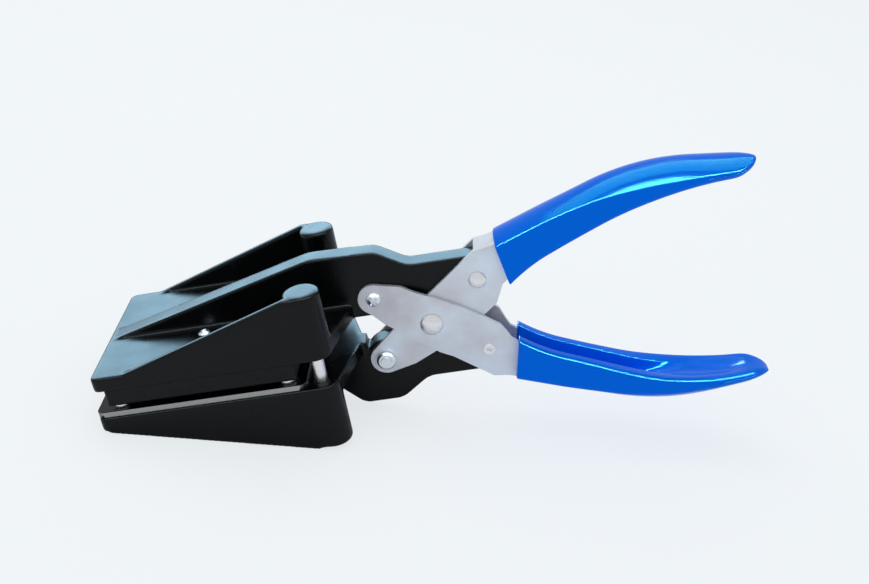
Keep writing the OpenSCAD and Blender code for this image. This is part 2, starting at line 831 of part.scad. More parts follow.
module pivot_sleeve() {
    color(steel) at_pivot() difference() {
        rod_y(0, 0, sleeve_d / 2, -in_y + side_gap, in_y - side_gap);
        rod_y(0, 0, rivet_d / 2 + run_gap, -arm_t, arm_t);
    }
}

module upper_arm_rivet() {
    color(steel) at_pivot() {
        rod_y(pin_span, rear_z, rear_pin_d / 2, -mid_y, mid_y);
        for (side = [-1, 1]) dome_y(pin_span, rear_z, arm_head_r, side * mid_y, arm_head_h, side);
    }
}

module lower_arm_pin() {
    end_y = mid_y + collar_h;
    color(steel) at_pivot() mirror([0, 0, 1]) difference() {
        union() {
            rod_y(pin_span, rear_z, rear_pin_d / 2, -end_y, end_y);
            for (y = [-end_y, mid_y])
                rod_y(pin_span, rear_z, rear_pin_d / 2 + collar, y, y + collar_h);
        }
        for (y = [-end_y, end_y])
            rod_y(pin_span, rear_z, pin_dimple_r, y - pin_dimple, y + pin_dimple);
    }
}

// Screw through a front lobe, its pan head on the side given
module slide_screw(side) {
    scale_y(side) difference() {
        union() {
            rod_y(-pin_span, -front_z, front_pin_d / 2, -mid_y - nut_h - thread_end, mid_y);
            dome_y(-pin_span, -front_z, pan_r, mid_y, pan_h, 1);
        }
        for (turn = [45, 135])
            translate([-pin_span, mid_y + pan_h, -front_z]) rotate([0, turn, 0])
                cube([pan_r * 1.3, 2 * cross_depth, cross_w], center = true);
    }
}

module slide_nut(side) {
    bevel_y = -mid_y - nut_h + nut_bevel;
    scale_y(side) difference() {
        union() {
            rod_y(-pin_span, -front_z, nut_r, bevel_y, -mid_y);
            translate([-pin_span, bevel_y, -front_z]) rotate([90, 0, 0])
                cylinder(r1 = nut_r, r2 = nut_r - nut_bevel, h = nut_bevel);
        }
        rod_y(-pin_span, -front_z, front_pin_d / 2 + press_gap, -3 * mid_y, 0);
    }
}

module slide_roller() {
    difference() {
        rod_y(-pin_span, -front_z, roller_d / 2, -arm_t / 2, arm_t / 2);
        rod_y(-pin_span, -front_z, front_pin_d / 2 + run_gap, -arm_t, arm_t);
    }
}

module lower_slide_screw() {
    color(steel) at_pivot() slide_screw(1);
}

module lower_slide_nut() {
    color(steel) at_pivot() slide_nut(1);
}

module lower_slide_roller() {
    color(steel) at_pivot() slide_roller();
}

module upper_slide_screw() {
    color(steel) at_pivot() mirror([0, 0, 1]) slide_screw(-1);
}

module upper_slide_nut() {
    color(steel) at_pivot() mirror([0, 0, 1]) slide_nut(-1);
}

module upper_slide_roller() {
    color(steel) at_pivot() mirror([0, 0, 1]) slide_roller();
}

lower_head();
die_plate();
guide_block();
slot_spacers();
die_screws();
guide_post(-1);  // guide_post_left
guide_post(1);  // guide_post_right
upper_head();
punch();
punch_screws();
post_bush(-1);  // post_bush_left
post_bush(1);  // post_bush_right
return_spring(-1);  // return_spring_left
return_spring(1);  // return_spring_right
upper_handle();
upper_grip();
upper_arm_rivet();
lower_slide_screw();
lower_slide_nut();
lower_slide_roller();
lower_handle();
lower_grip();
lower_arm_pin();
upper_slide_screw();
upper_slide_nut();
upper_slide_roller();
main_rivet();
pivot_sleeve();
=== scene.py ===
"""Looks of a hand-held circle punch: cast head, die set, crossed channel handles and dipped grips."""
import json
import logging
import math
from collections.abc import Callable
from dataclasses import dataclass
from enum import Enum

import bmesh
import bpy
from bmesh.types import BMEdge, BMesh, BMFace
from bpy.types import ID, Material, Mesh, Node, NodeSocket, NodeTree, Object
from mathutils import Matrix, Vector


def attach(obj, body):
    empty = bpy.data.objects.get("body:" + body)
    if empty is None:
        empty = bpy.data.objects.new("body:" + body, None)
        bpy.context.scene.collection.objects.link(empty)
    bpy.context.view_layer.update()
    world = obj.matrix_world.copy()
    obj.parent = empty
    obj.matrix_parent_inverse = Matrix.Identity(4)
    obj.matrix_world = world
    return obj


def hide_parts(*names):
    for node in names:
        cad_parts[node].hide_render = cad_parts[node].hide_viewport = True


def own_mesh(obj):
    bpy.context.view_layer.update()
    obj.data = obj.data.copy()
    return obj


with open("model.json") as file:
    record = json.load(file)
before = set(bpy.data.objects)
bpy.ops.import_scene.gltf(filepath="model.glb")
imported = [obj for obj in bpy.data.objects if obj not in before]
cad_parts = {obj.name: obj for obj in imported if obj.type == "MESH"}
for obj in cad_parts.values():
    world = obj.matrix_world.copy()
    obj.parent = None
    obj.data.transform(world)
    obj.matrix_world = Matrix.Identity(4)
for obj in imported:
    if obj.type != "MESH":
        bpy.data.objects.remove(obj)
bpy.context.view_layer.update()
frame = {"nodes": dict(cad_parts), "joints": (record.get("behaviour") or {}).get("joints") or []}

LOG = logging.getLogger("circle_punch")
MM = 0.001
# Distances in metres under which points are one, and under which they lie on one plane
MERGE = 1e-6
ON_PLANE = 1e-5
# Least part of a face's normal along an axis for the face to look that way
FACING = 0.99
# Middle part of a noise pattern, where most of its values lie
NOISE_SPAN = (0.3, 0.7)

Pair = tuple[float, float]
Triple = tuple[float, float, float]
# Points of a profile or section in millimetres: distance from the middle, and place or height
Profile = list[Pair]

# Pieces that the window and the edge light both fall on
CASTINGS = ("lower_head_casting", "upper_head_casting")


class Body(Enum):
    """The four moving bodies of the tool."""

    LOWER_HEAD = "lower_head"
    UPPER_HEAD = "upper_head"
    LOWER_HANDLE = "lower_handle"
    UPPER_HANDLE = "upper_handle"


class Slot(Enum):
    """Material slots that a piece takes its finish from."""

    BLACK_PAINT = "black_paint"
    DIE_STEEL = "die_steel"
    DARK_STEEL = "dark_steel"
    BRIGHT_STEEL = "bright_steel"
    PLATED_SCREWS = "plated_screws"
    BRONZE = "bronze"
    SPRING_STEEL = "spring_steel"
    HANDLE_SHEET = "handle_sheet"
    BLUE_VINYL = "blue_vinyl"


class Axis(Enum):
    """Direction of a turned piece's own axis in the frame of the jaws."""

    ACROSS = "Y"
    UPRIGHT = "Z"


def linear(code: str) -> tuple[float, float, float, float]:
    """Turn a hex colour into linear light.

    Args:
        code: Colour as six hex digits after a hash.

    Returns:
        Red, green, blue and full alpha in linear light.
    """
    shares = [int(code[i:i + 2], 16) / 255 for i in (1, 3, 5)]
    light = [s / 12.92 if s <= 0.04045 else ((s + 0.055) / 1.055) ** 2.4 for s in shares]
    return (*light, 1.0)


def add_node(
    tree: NodeTree, kind: str, inputs: dict[str | int, object] | None = None, **settings: object
) -> Node:
    """Add one shader node, set it and link it.

    Args:
        tree: Node tree that takes the node.
        kind: Blender's name for the kind of node.
        inputs: For each input, a constant or the output socket that feeds it.
        settings: Attributes of the node itself.

    Returns:
        The new node.
    """
    node = tree.nodes.new(kind)
    for name, value in settings.items():
        setattr(node, name, value)
    for name, value in (inputs or {}).items():
        if isinstance(value, NodeSocket):
            tree.links.new(value, node.inputs[name])
        else:
            node.inputs[name].default_value = value
    return node


def as_mesh(bm: BMesh, name: str) -> Mesh:
    """Turn an edit mesh into a plain one.

    Args:
        bm: Edit mesh; it is used up.
        name: Name of the plain mesh.

    Returns:
        The plain mesh.
    """
    mesh = bpy.data.meshes.new(name)
    bm.to_mesh(mesh)
    bm.free()
    return mesh


def add_object(name: str, data: ID) -> Object:
    """Put an object into the scene.

    Args:
        name: Name of the object.
        data: Mesh, lamp or camera that it shows.

    Returns:
        The object.
    """
    thing = bpy.data.objects.new(name, data)
    bpy.context.scene.collection.objects.link(thing)
    return thing


@dataclass(frozen=True)
class Finish:
    """A finish as a maker would name it, with the values that one shader needs."""

    name: str
    colour: str
    roughness: float
    metallic: float = 0.0
    ior: float = 1.5
    gloss: float = 0.5

    def build(self) -> Material:
        """Make the finish as a material.

        Returns:
            The material, ready to put on a mesh.
        """
        material = bpy.data.materials.new(self.name)
        material.use_nodes = True
        tree = material.node_tree
        tree.nodes.clear()
        inputs: dict[str, object] = {
            "Base Color": linear(self.colour),
            "Metallic": self.metallic,
            "Roughness": self.roughness,
        }
        if not self.metallic:
            inputs["IOR"] = self.ior
            inputs["Specular IOR Level"] = self.gloss
        inputs.update(self.surface(tree))
        shader = add_node(tree, "ShaderNodeBsdfPrincipled", inputs)
        whole = self.cover(tree, shader.outputs["BSDF"])
        add_node(tree, "ShaderNodeOutputMaterial", {"Surface": whole})
        return material

    def cover(self, tree: NodeTree, shader: NodeSocket) -> NodeSocket:
        """Lay something over the finished shader; a plain finish lays nothing."""
        return shader

    def surface(self, tree: NodeTree) -> dict[str, object]:
        """Give the shader inputs that vary over the surface; a plain finish has none."""
        return {}

    def grain(
        self, tree: NodeTree, size: Triple, detail: float = 2.0, turn: float = 0.0
    ) -> NodeSocket:
        """Lay a noise pattern over the piece.

        Args:
            tree: Tree of the material.
            size: Size of one feature along X, Y and Z, in millimetres.
            detail: Finer octaves laid over the first one.
            turn: Angle about Y by which the pattern follows the tilted tool.

        Returns:
            The pattern's value, from 0 to 1.
        """
        spot = add_node(tree, "ShaderNodeTexCoord")
        laid = {
            "Vector": spot.outputs["Object"],
            "Rotation": (0.0, turn, 0.0),
            "Scale": tuple(1 / (s * MM) for s in size),
        }
        vector = add_node(tree, "ShaderNodeMapping", laid).outputs["Vector"]
        inputs = {"Vector": vector, "Scale": 1.0, "Detail": detail, "Roughness": 0.5}
        return add_node(tree, "ShaderNodeTexNoise", inputs).outputs["Fac"]

    def between(self, tree: NodeTree, value: NodeSocket, low: float, high: float) -> NodeSocket:
        """Spread the middle of a noise pattern from a low value to a high one."""
        ends = dict(zip(("From Min", "From Max", "To Min", "To Max"), (*NOISE_SPAN, low, high)))
        return add_node(tree, "ShaderNodeMapRange", {"Value": value, **ends}).outputs["Result"]

    def uneven(self, tree: NodeTree, value: NodeSocket, spread: float) -> NodeSocket:
        """Let the roughness follow a noise pattern, by a spread to either side."""
        return self.between(tree, value, self.roughness - spread, self.roughness + spread)

    def blend(self, tree: NodeTree, share: NodeSocket, first: str, second: str) -> NodeSocket:
        """Mix two hex colours by the share of the second one."""
        # The node has sockets of the same name for every kind of value, so these go by their place
        inputs = {0: share, 6: linear(first), 7: linear(second)}
        return add_node(tree, "ShaderNodeMix", inputs, data_type="RGBA").outputs[2]

    def relief(self, tree: NodeTree, height: NodeSocket, depth: float) -> NodeSocket:
        """Turn a pattern into a shallow relief of a depth in millimetres, given as bent normals."""
        inputs = {"Height": height, "Strength": 1.0, "Distance": depth * MM}
        return add_node(tree, "ShaderNodeBump", inputs).outputs["Normal"]


@dataclass(frozen=True)
class StovedEnamel(Finish):
    """Black stoving enamel sprayed over a sand-blasted casting: a satin gloss with faint orange peel."""

    peel: float = 1.6
    peel_depth: float = 0.012
    patch: float = 14.0
    spread: float = 0.05

    def surface(self, tree: NodeTree) -> dict[str, object]:
        """Give the enamel its peel and its slow change of gloss, which soften the reflections.

        Args:
            tree: Tree of the material.

        Returns:
            Inputs of the shader.
        """
        peel = self.grain(tree, (self.peel,) * 3)
        patch = self.grain(tree, (self.patch,) * 3)
        return {
            "Normal": self.relief(tree, peel, self.peel_depth),
            "Roughness": self.uneven(tree, patch, self.spread),
        }


@dataclass(frozen=True)
class DirectionalMetal(Finish):
    """Rolled, ground or brushed metal with lines along the tool."""

    metallic: float = 1.0
    line: float = 0.35
    run: float = 14.0
    spread: float = 0.06
    depth: float = 0.002
    tilt: float = 0.0

    def surface(self, tree: NodeTree) -> dict[str, object]:
        """Draw the lines, coarser than real ones so that they show, as gloss and a shallow relief.

        Args:
            tree: Tree of the material.

        Returns:
            Inputs of the shader.
        """
        lines = self.grain(tree, (self.run, self.line, self.line), turn=self.tilt)
        return {
            "Roughness": self.uneven(tree, lines, self.spread),
            "Normal": self.relief(tree, lines, self.depth),
        }


@dataclass(frozen=True)
class PaintedEdgeLightSteel(DirectionalMetal):
    """Steel plate toned by which way its faces look: painted shade darkens the flats, painted light
    brightens edges and bores.
    """

    # Painted shade: tone of the faces that look along the plate's normal, darker than its edges
    flats: str = "#2A2B2C"
    # Mark of the faces that take the painted edge light
    mark: str = "painted_edge_light"

    def surface(self, tree: NodeTree) -> dict[str, object]:
        """Mix the flats' painted shade and the edges' painted light by a mark that the plate's mesh
        carries, 1 on edge faces.

        Args:
            tree: Tree of the material.

        Returns:
            Inputs of the shader.
        """
        mark = add_node(tree, "ShaderNodeAttribute", attribute_name=self.mark)
        tone = self.blend(tree, mark.outputs["Fac"], self.flats, self.colour)
        return {**super().surface(tree), "Base Color": tone}


@dataclass(frozen=True)
class MottledMetal(Finish):
    """Blackened, sintered or plated metal whose gloss and tone change in small patches."""

    metallic: float = 1.0
    patch: float = 2.0
    spread: float = 0.08
    second: str = "#000000"
    depth: float = 0.003
    octaves: float = 4.0

    def surface(self, tree: NodeTree) -> dict[str, object]:
        """Mottle the tone between two colours and break up the gloss with the same pattern.

        Args:
            tree: Tree of the material.

        Returns:
            Inputs of the shader.
        """
        patch = self.grain(tree, (self.patch,) * 3, detail=self.octaves)
        share = self.between(tree, patch, 0.0, 1.0)
        return {
            "Base Color": self.blend(tree, share, self.colour, self.second),
            "Roughness": self.uneven(tree, patch, self.spread),
            "Normal": self.relief(tree, patch, self.depth),
        }


@dataclass(frozen=True)
class DippedVinyl(Finish):
    """Soft vinyl from a hot dip: deep even colour under a wet-looking skin with slow ripples."""

    ripple: float = 9.0
    ripple_run: float = 18.0
    ripple_depth: float = 0.05
    sheen: str = "#5FD8FF"

    def surface(self, tree: NodeTree) -> dict[str, object]:
        """Bend the highlights a little along the grip, as runs of a dip do, and tint them.

        Args:
            tree: Tree of the material.

        Returns:
            Inputs of the shader.
        """
        ripple = self.grain(tree, (self.ripple_run, self.ripple, self.ripple), detail=0.0)
        return {
            "Normal": self.relief(tree, ripple, self.ripple_depth),
            "Specular Tint": linear(self.sheen),
        }


@dataclass(frozen=True)
class PaperSweep(Finish):
    """Matt white studio paper, lit so evenly that only a faint shadow is left on it."""

    evenness: float = 0.78

    def cover(self, tree: NodeTree, shader: NodeSocket) -> NodeSocket:
        """Show the camera mostly the paper's own colour, so that the shadow stays faint.

        Args:
            tree: Tree of the material.
            shader: Paper as it is lit.

        Returns:
            The evened paper.
        """
        path = add_node(tree, "ShaderNodeLightPath")
        seen = {0: path.outputs["Is Camera Ray"], 1: self.evenness}
        share = add_node(tree, "ShaderNodeMath", seen, operation="MULTIPLY")
        glow = add_node(tree, "ShaderNodeEmission", {"Color": linear(self.colour), "Strength": 1.0})
        parts = {0: share.outputs["Value"], 1: shader, 2: glow.outputs["Emission"]}
        return add_node(tree, "ShaderNodeMixShader", parts).outputs["Shader"]


@dataclass(frozen=True)
class Stance:
    """How the tool stands: the frame of its jaws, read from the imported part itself."""

    # Angle between the die and the floor, in radians
    tilt: float

    @classmethod
    def read(cls) -> "Stance":
        """Read the tilt of the jaws from the axis that the punch slides along."""
        slide = next(j for j in frame["joints"] if j["name"] == "punch_slide")
        return cls(math.atan2(-slide["axis"][0], slide["axis"][2]))

    def turn(self) -> Matrix:
        """Give the turn from the jaws' axes to the floor's."""
        return Matrix.Rotation(-self.tilt, 4, "Y")

    def box(self, node: str) -> tuple[Vector, Vector]:
        """Measure a CAD node along the jaws' axes.

        Args:
            node: Name of the CAD node.

        Returns:
            Lowest and highest corner along the jaws' axes, in metres.
        """
        back = self.turn().inverted()
        points = [back @ v.co for v in frame["nodes"][node].data.vertices]
        low = Vector(min(p[i] for p in points) for i in range(3))
        high = Vector(max(p[i] for p in points) for i in range(3))
        return low, high

    def middle(self, node: str) -> Vector:
        """Give the middle of a CAD node along the jaws' axes."""
        low, high = self.box(node)
        return (low + high) / 2


@dataclass(frozen=True)
class Workshop:
    """Tools shared by all sub-assemblies: copies, bevels, turned shapes and the hand-over of pieces."""

    stance: Stance
    mats: dict[Slot, Material]
    # Degrees under which neighbouring faces become one, and over which an edge is broken or is a fold
    flat_angle: float = 0.3
    edge_angle: float = 40.0
    fold_angle: float = 60.0
    turn_steps: int = 48
    lead_weight: int = 100

    def cad_copy(self, node: str) -> BMesh:
        """Copy a CAD node, joined up and with its flat faces whole.

        Args:
            node: Name of the CAD node.

        Returns:
            The copy, turned to the jaws' axes.
        """
        bm = bmesh.new()
        bm.from_mesh(frame["nodes"][node].data)
        bmesh.ops.remove_doubles(bm, verts=bm.verts, dist=MERGE)
        flat = math.radians(self.flat_angle)
        bmesh.ops.dissolve_limit(bm, angle_limit=flat, verts=bm.verts, edges=bm.edges)
        bm.transform(self.stance.turn().inverted())
        return bm

    def sharp_edges(
        self, bm: BMesh, least: float, pick: Callable[[BMEdge], bool] | None = None
    ) -> list[BMEdge]:
        """List the edges where two faces meet at a clear angle.

        Args:
            bm: Mesh to look through.
            least: Smallest angle that counts, in degrees.
            pick: Further test that an edge has to pass.

        Returns:
            The edges found.
        """
        bm.normal_update()
        limit = math.radians(least)
        return [
            e for e in bm.edges
            if e.is_manifold and e.calc_face_angle() > limit and (pick is None or pick(e))
        ]

    def soften(self, bm: BMesh, edges: list[BMEdge], width: float, segments: int) -> None:
        """Round a set of edges.

        Args:
            bm: Mesh that the edges belong to.
            edges: Edges to round.
            width: Width of the rounding on each side, in millimetres.
            segments: Faces across the rounding.
        """
        bmesh.ops.bevel(
            bm, geom=edges, offset=width * MM, offset_type="OFFSET", affect="EDGES",
            segments=segments, profile=0.5, clamp_overlap=True, material=-1,
        )

    def ring(self, bm: BMesh, points: list[Vector], closed: bool) -> list[BMEdge]:
        """Draw a chain of edges.

        Args:
            bm: Mesh that takes the chain.
            points: Points along the chain.
            closed: Whether the last point joins the first.

        Returns:
            The chain's edges.
        """
        verts = [bm.verts.new(p) for p in points]
        ends = verts[1:] + verts[:1] if closed else verts[1:]
        return [bm.edges.new(pair) for pair in zip(verts, ends)]

    def turned(self, bm: BMesh, profile: Profile, centre: Vector, axis: Axis) -> None:
        """Turn a profile round an axis, as on a lathe.

        Args:
            bm: Mesh that takes the shape, along the jaws' axes.
            profile: Points of the shape from one end to the other.
            centre: Point on the axis that the places are counted from.
            axis: Direction of the axis.
        """
        work = bmesh.new()
        edges = self.ring(work, [Vector((r, 0, h)) * MM for r, h in profile], closed=False)
        bmesh.ops.spin(
            work, geom=edges + list(work.verts), cent=(0, 0, 0), axis=(0, 0, 1),
            angle=math.tau, steps=self.turn_steps, use_merge=True,
        )
        bmesh.ops.remove_doubles(work, verts=work.verts, dist=MERGE)
        if axis is Axis.ACROSS:
            work.transform(Matrix.Rotation(math.radians(-90), 4, "X"))
        work.transform(Matrix.Translation(centre))
        bmesh.ops.recalc_face_normals(work, faces=work.faces)
        part = as_mesh(work, "turned")
        bm.from_mesh(part)
        bpy.data.meshes.remove(part)

    def collar(self, outer: float, bore: float, half: float, edge: float) -> Profile:
        """Draw a bored disc about its middle, with its outer edges broken.

        Args:
            outer: Outer radius.
            bore: Radius of the bore.
            half: Half of the thickness.
            edge: Width of the broken edges.

        Returns:
            The closed profile.
        """
        upper = [(outer, half - edge), (outer - edge, half), (bore, half)]
        lower = [(radius, -level) for radius, level in reversed(upper)]
        return lower + upper + lower[:1]

    def upright(self, node: str, body: Body, slot: Slot, draw: Callable[[float], Profile]) -> None:
        """Turn one upright piece in the place of its CAD node.

        Args:
            node: CAD node that the piece stands for.
            body: Body that the piece moves with.
            slot: Material slot of the piece.
            draw: Gives the profile for half of the node's height, in millimetres.
        """
        low, high = self.stance.box(node)
        bm = bmesh.new()
        self.turned(bm, draw((high.z - low.z) / 2 / MM), (low + high) / 2, Axis.UPRIGHT)
        self.hand_over(bm, node, "turned", body, slot)

    def hand_over(
        self, bm: BMesh, node: str, ending: str, body: Body, slot: Slot, weigh: bool = True
    ) -> Object:
        """Turn a finished mesh into a piece that stands for its CAD node.

        Args:
            bm: Mesh along the jaws' axes; it is used up.
            node: CAD node that the piece stands for.
            ending: Ending of the piece's name, after the node's.
            body: Body that the piece moves with.
            slot: Material slot of the piece.
            weigh: Whether large faces lead the shading, so that flats stay flat beside roundings.

        Returns:
            The new object.
        """
        bm.transform(self.stance.turn())
        name = f"{node}_{ending}"
        mesh = as_mesh(bm, name)
        mesh.polygons.foreach_set("use_smooth", [True] * len(mesh.polygons))
        mesh.materials.append(self.mats[slot])
        piece = add_object(name, mesh)
        if weigh:
            shade = piece.modifiers.new("flat_faces_lead", "WEIGHTED_NORMAL")
            shade.mode = "FACE_AREA"
            shade.weight = self.lead_weight
        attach(piece, body.value)
        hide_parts(node)
        LOG.info("%s: %d faces", name, len(mesh.polygons))
        return piece

    def detail(
        self, node: str, body: Body, slot: Slot, width: float, segments: int = 2, least: float = 0.0
    ) -> Object:
        """Make a piece in the shape of its CAD node with its sharp edges broken.

        Args:
            node: CAD node that the piece stands for.
            body: Body that the piece moves with.
            slot: Material slot of the piece.
            width: Width of the broken edges, in millimetres.
            segments: Faces across a broken edge.
            least: Length that an edge needs to be broken, in millimetres.

        Returns:
            The new object.
        """
        bm = self.cad_copy(node)
        edges = self.sharp_edges(bm, self.edge_angle, lambda e: e.calc_length() > least * MM)
        self.soften(bm, edges, width, segments)
        return self.hand_over(bm, node, "finished", body, slot)

    def dress(self, node: str, slot: Slot) -> None:
        """Put a finish on a CAD node that keeps its shape.

        Args:
            node: Name of the CAD node.
            slot: Slot that the finish is taken from.
        """
        materials = frame["nodes"][node].data.materials
        materials.clear()
        materials.append(self.mats[slot])
        LOG.info("%s: finish %s", node, self.mats[slot].name)


@dataclass(frozen=True)
class CastHead:
    """One of the two castings: slab, sloped walls, bosses, rib and arm with cast roundings."""

    node: str
    body: Body
    way: int
    rim: float
    rim_rise: float = 0.2
    rim_steps: int = 4
    arm_half: float = 4.5
    voxel: float = 0.55
    rounds: int = 7
    pull: float = 0.5

    def is_rim(self, edge: BMEdge) -> bool:
        """Tell whether an edge runs along the outer side of the rib and arm.

        Args:
            edge: Edge of the casting.

        Returns:
            Whether it does.
        """
        off = [abs(abs(v.co.y) - self.arm_half * MM) for v in edge.verts]
        if not edge.is_convex or max(off) > ON_PLANE:
            return False
        side, outer = sorted(edge.link_faces, key=lambda f: -abs(f.normal.y))
        return abs(side.normal.y) > FACING and outer.normal.z * self.way > self.rim_rise

    def build(self, shop: Workshop) -> None:
        """Make the casting with all its edges and inner corners rounded.

        Args:
            shop: Shared tools.
        """
        bm = shop.cad_copy(self.node)
        edges = shop.sharp_edges(bm, shop.fold_angle, self.is_rim)
        shop.soften(bm, edges, self.rim, self.rim_steps)
        rough = add_object(self.node, as_mesh(bm, self.node))
        grid = rough.modifiers.new("even_skin", "REMESH")
        grid.mode = "VOXEL"
        grid.voxel_size = self.voxel * MM
        graph = bpy.context.evaluated_depsgraph_get()
        skin = bpy.data.meshes.new_from_object(rough.evaluated_get(graph))
        bpy.data.objects.remove(rough)
        bm = bmesh.new()
        bm.from_mesh(skin)
        for _ in range(self.rounds):
            bmesh.ops.smooth_vert(
                bm, verts=bm.verts, factor=self.pull,
                use_axis_x=True, use_axis_y=True, use_axis_z=True,
            )
        shop.hand_over(bm, self.node, "casting", self.body, Slot.BLACK_PAINT, weigh=False)


@dataclass(frozen=True)
class HandleSheet:
    """A pressed channel handle: two plates joined by a web, its folds rounded and its edges broken."""

    node: str
    body: Body
    web: float = 10.0
    fold: float = 1.4
    fold_steps: int = 4
    edge: float = 0.3
    edge_steps: int = 2

    def is_web(self, face: BMFace) -> bool:
        """Tell whether a face runs across from one plate to the other."""
        across = [v.co.y for v in face.verts]
        return max(across) - min(across) > self.web * MM

    def is_fold(self, edge: BMEdge) -> bool:
        """Tell whether an edge is an outer fold between web and plate.

        Args:
            edge: Edge of the sheet.

        Returns:
            Whether it is one.
        """
        webs = [self.is_web(f) for f in edge.link_faces]
        sides = [abs(f.normal.y) > FACING for f in edge.link_faces]
        return any(webs) and any(sides) and edge.is_convex

    def build(self, shop: Workshop) -> None:
        """Make the handle's sheet.

        Args:
            shop: Shared tools.
        """
        bm = shop.cad_copy(self.node)
        folds = shop.sharp_edges(bm, shop.fold_angle, self.is_fold)
        shop.soften(bm, folds, self.fold, self.fold_steps)
        shop.soften(bm, shop.sharp_edges(bm, shop.edge_angle), self.edge, self.edge_steps)
        shop.hand_over(bm, self.node, "sheet", self.body, Slot.HANDLE_SHEET)


@dataclass(frozen=True)
class VinylGrip:
    """A dipped grip about the main rivet: swelled and domed under the palm, open along its inner side."""

    node: str
    body: Body
    way: int
    length: float = 128.0
    back_root: float = 28.4
    back_height: float = 50.1
    back_crest: float = 94.8
    back_bend: Triple = (85.0, 20.3, 6.8)
    rim_root: float = 32.2
    rim_height: float = 41.1
    rim_crest: float = 115.9
    rim_bend: Triple = (116.0, 24.0, 0.5)
    rim_short: float = 1.6
    flare: float = 3.1
    flare_length: float = 16.0
    half_width: float = 9.3
    swell: float = 1.8
    swell_span: Pair = (50.0, 89.0)
    domes: Pair = (2.0, 5.2)
    dome_span: Pair = (44.0, 88.0)
    tip_length: float = 42.0
    tip_draw: float = 3.4
    tip_round: float = 10.5
    tip_cut: float = 0.95
    nose_round: float = 8.0
    nose_cut: float = 0.96
    nose_height: float = 0.74
    back_round: float = 2.4
    back_steps: int = 8
    rim_round: float = 2.3
    lip_round: float = 0.9
    arc_steps: int = 6
    steel_half: float = 6.2
    trough_half: float = 4.2
    trough_floor: float = 3.3
    trough_end: Pair = (66.0, 97.0)
    trough_square: float = 8.0
    dish_start: Pair = (64.0, 96.0)
    dish_end: Pair = (108.0, 127.0)
    dish_steps: int = 6
    scoop_steps: int = 14
    dish: float = 1.7
    stations: int = 110
    lip: float = 0.6
    lip_steps: int = 3
    # Most of the section's width or height that a rounding or the dish takes, and a lip
    round_share: float = 0.3
    lip_share: float = 0.1

    def bend(self, x: float, crest: float, height: float, shape: Triple) -> float:
        """Follow a rising line, an arc over a crest and a falling line.

        Args:
            x: Place along the handle.
            crest: Place of the crest.
            height: Height of the crest.
            shape: Radius of the arc, slope before it and slope after it in degrees.

        Returns:
            Height at that place.
        """
        radius, rise, fall = shape[0], math.radians(shape[1]), math.radians(shape[2])
        start = crest - radius * math.sin(rise)
        end = crest + radius * math.sin(fall)
        base = height - radius
        if x < start:
            return base + radius * math.cos(rise) - (start - x) * math.tan(rise)
        if x > end:
            return base + radius * math.cos(fall) - (x - end) * math.tan(fall)
        return base + math.sqrt(radius ** 2 - (x - crest) ** 2)

    def back(self, t: float) -> Vector:
        """Give the place along the handle and the height of the back at a share of its length."""
        x = self.back_root + (self.length - self.back_root) * t
        return Vector((x, self.bend(x, self.back_crest, self.back_height, self.back_bend)))

    def rim(self, t: float) -> Vector:
        """Give the point of the grip's open rim at a share of its length.

        Args:
            t: Share of the length, 0 at the root.

        Returns:
            Place along the handle and height, in millimetres.
        """
        x = self.rim_root + (self.length - self.rim_short - self.rim_root) * t
        flare = self.flare * max(0.0, 1 - (x - self.rim_root) / self.flare_length) ** 2
        return Vector((x, self.bend(x, self.rim_crest, self.rim_height, self.rim_bend) - flare))

    def ease(self, span: Pair, x: float) -> float:
        """Rise softly from 0 to 1 over a span of the handle."""
        share = min(1.0, max(0.0, (x - span[0]) / (span[1] - span[0])))
        return share * share * (3 - 2 * share)

    def half_width_at(self, x: float) -> float:
        """Give the grip's half width at a place along the handle.

        Args:
            x: Place along the handle.

        Returns:
            Half width, swelled under the palm and drawn in to a round tip.
        """
        drawn = max(0.0, 1 - (self.length - x) / self.tip_length)
        past = max(0.0, 1 - (self.length - x) / self.tip_round)
        wide = self.half_width + self.swell * self.ease(self.swell_span, x)
        return (wide - self.tip_draw * drawn ** 2) * math.sqrt(1 - self.tip_cut * past ** 2)

    def arc(self, across: float, height: float, radius: float, first: float, last: float) -> Profile:
        """Draw an arc of the grip's section.

        Args:
            across: Distance of the arc's centre from the middle.
            height: Height of the arc's centre over the rim.
            radius: Radius of the arc.
            first: Angle of its first point, in degrees.
            last: Angle of its last point, in degrees.

        Returns:
            The arc's points.
        """
        steps = range(self.arc_steps + 1)
        turns = [math.radians(first + (last - first) * k / self.arc_steps) for k in steps]
        return [(across + radius * math.cos(a), height + radius * math.sin(a)) for a in turns]

    def outer_half(self, w: float, depth: float, dome: float, rim: float) -> Profile:
        """Draw half of the section's outside, from the middle of its back round the rim.

        Args:
            w: Half width of the section.
            depth: Distance from rim to back.
            dome: Height of the back's dome.
            rim: Radius of the rim.

        Returns:
            The points, over the rim.
        """
        dome = min(dome, depth / 2)
        corner = min(self.back_round, self.round_share * depth, w / 2)
        slope = math.atan(2 * dome / (w - corner / 2))
        edge = w - corner * (1 - math.sin(slope))
        points = [
            (edge * k / self.back_steps, depth - dome * (k / self.back_steps) ** 2)
            for k in range(self.back_steps)
        ]
        height = depth - dome - corner * math.cos(slope)
        points += self.arc(w - corner, height, corner, 90 - math.degrees(slope), 0)
        return points + self.arc(w - rim, rim, rim, 0, -90)

    def trough_half_section(self, x: float, w: float, deep: float, reach: float) -> Profile:
        """Draw half of the trough, from the inner end of the rim to the middle of its floor.

        Args:
            x: Place along the handle.
            w: Half width of the section.
            deep: Depth of the trough.
            reach: Distance from the middle to the inner end of the rim.

        Returns:
            The points, over the rim.
        """
        lip = min(self.lip_round, self.lip_share * w)
        inner = min(self.trough_half, w / 2)
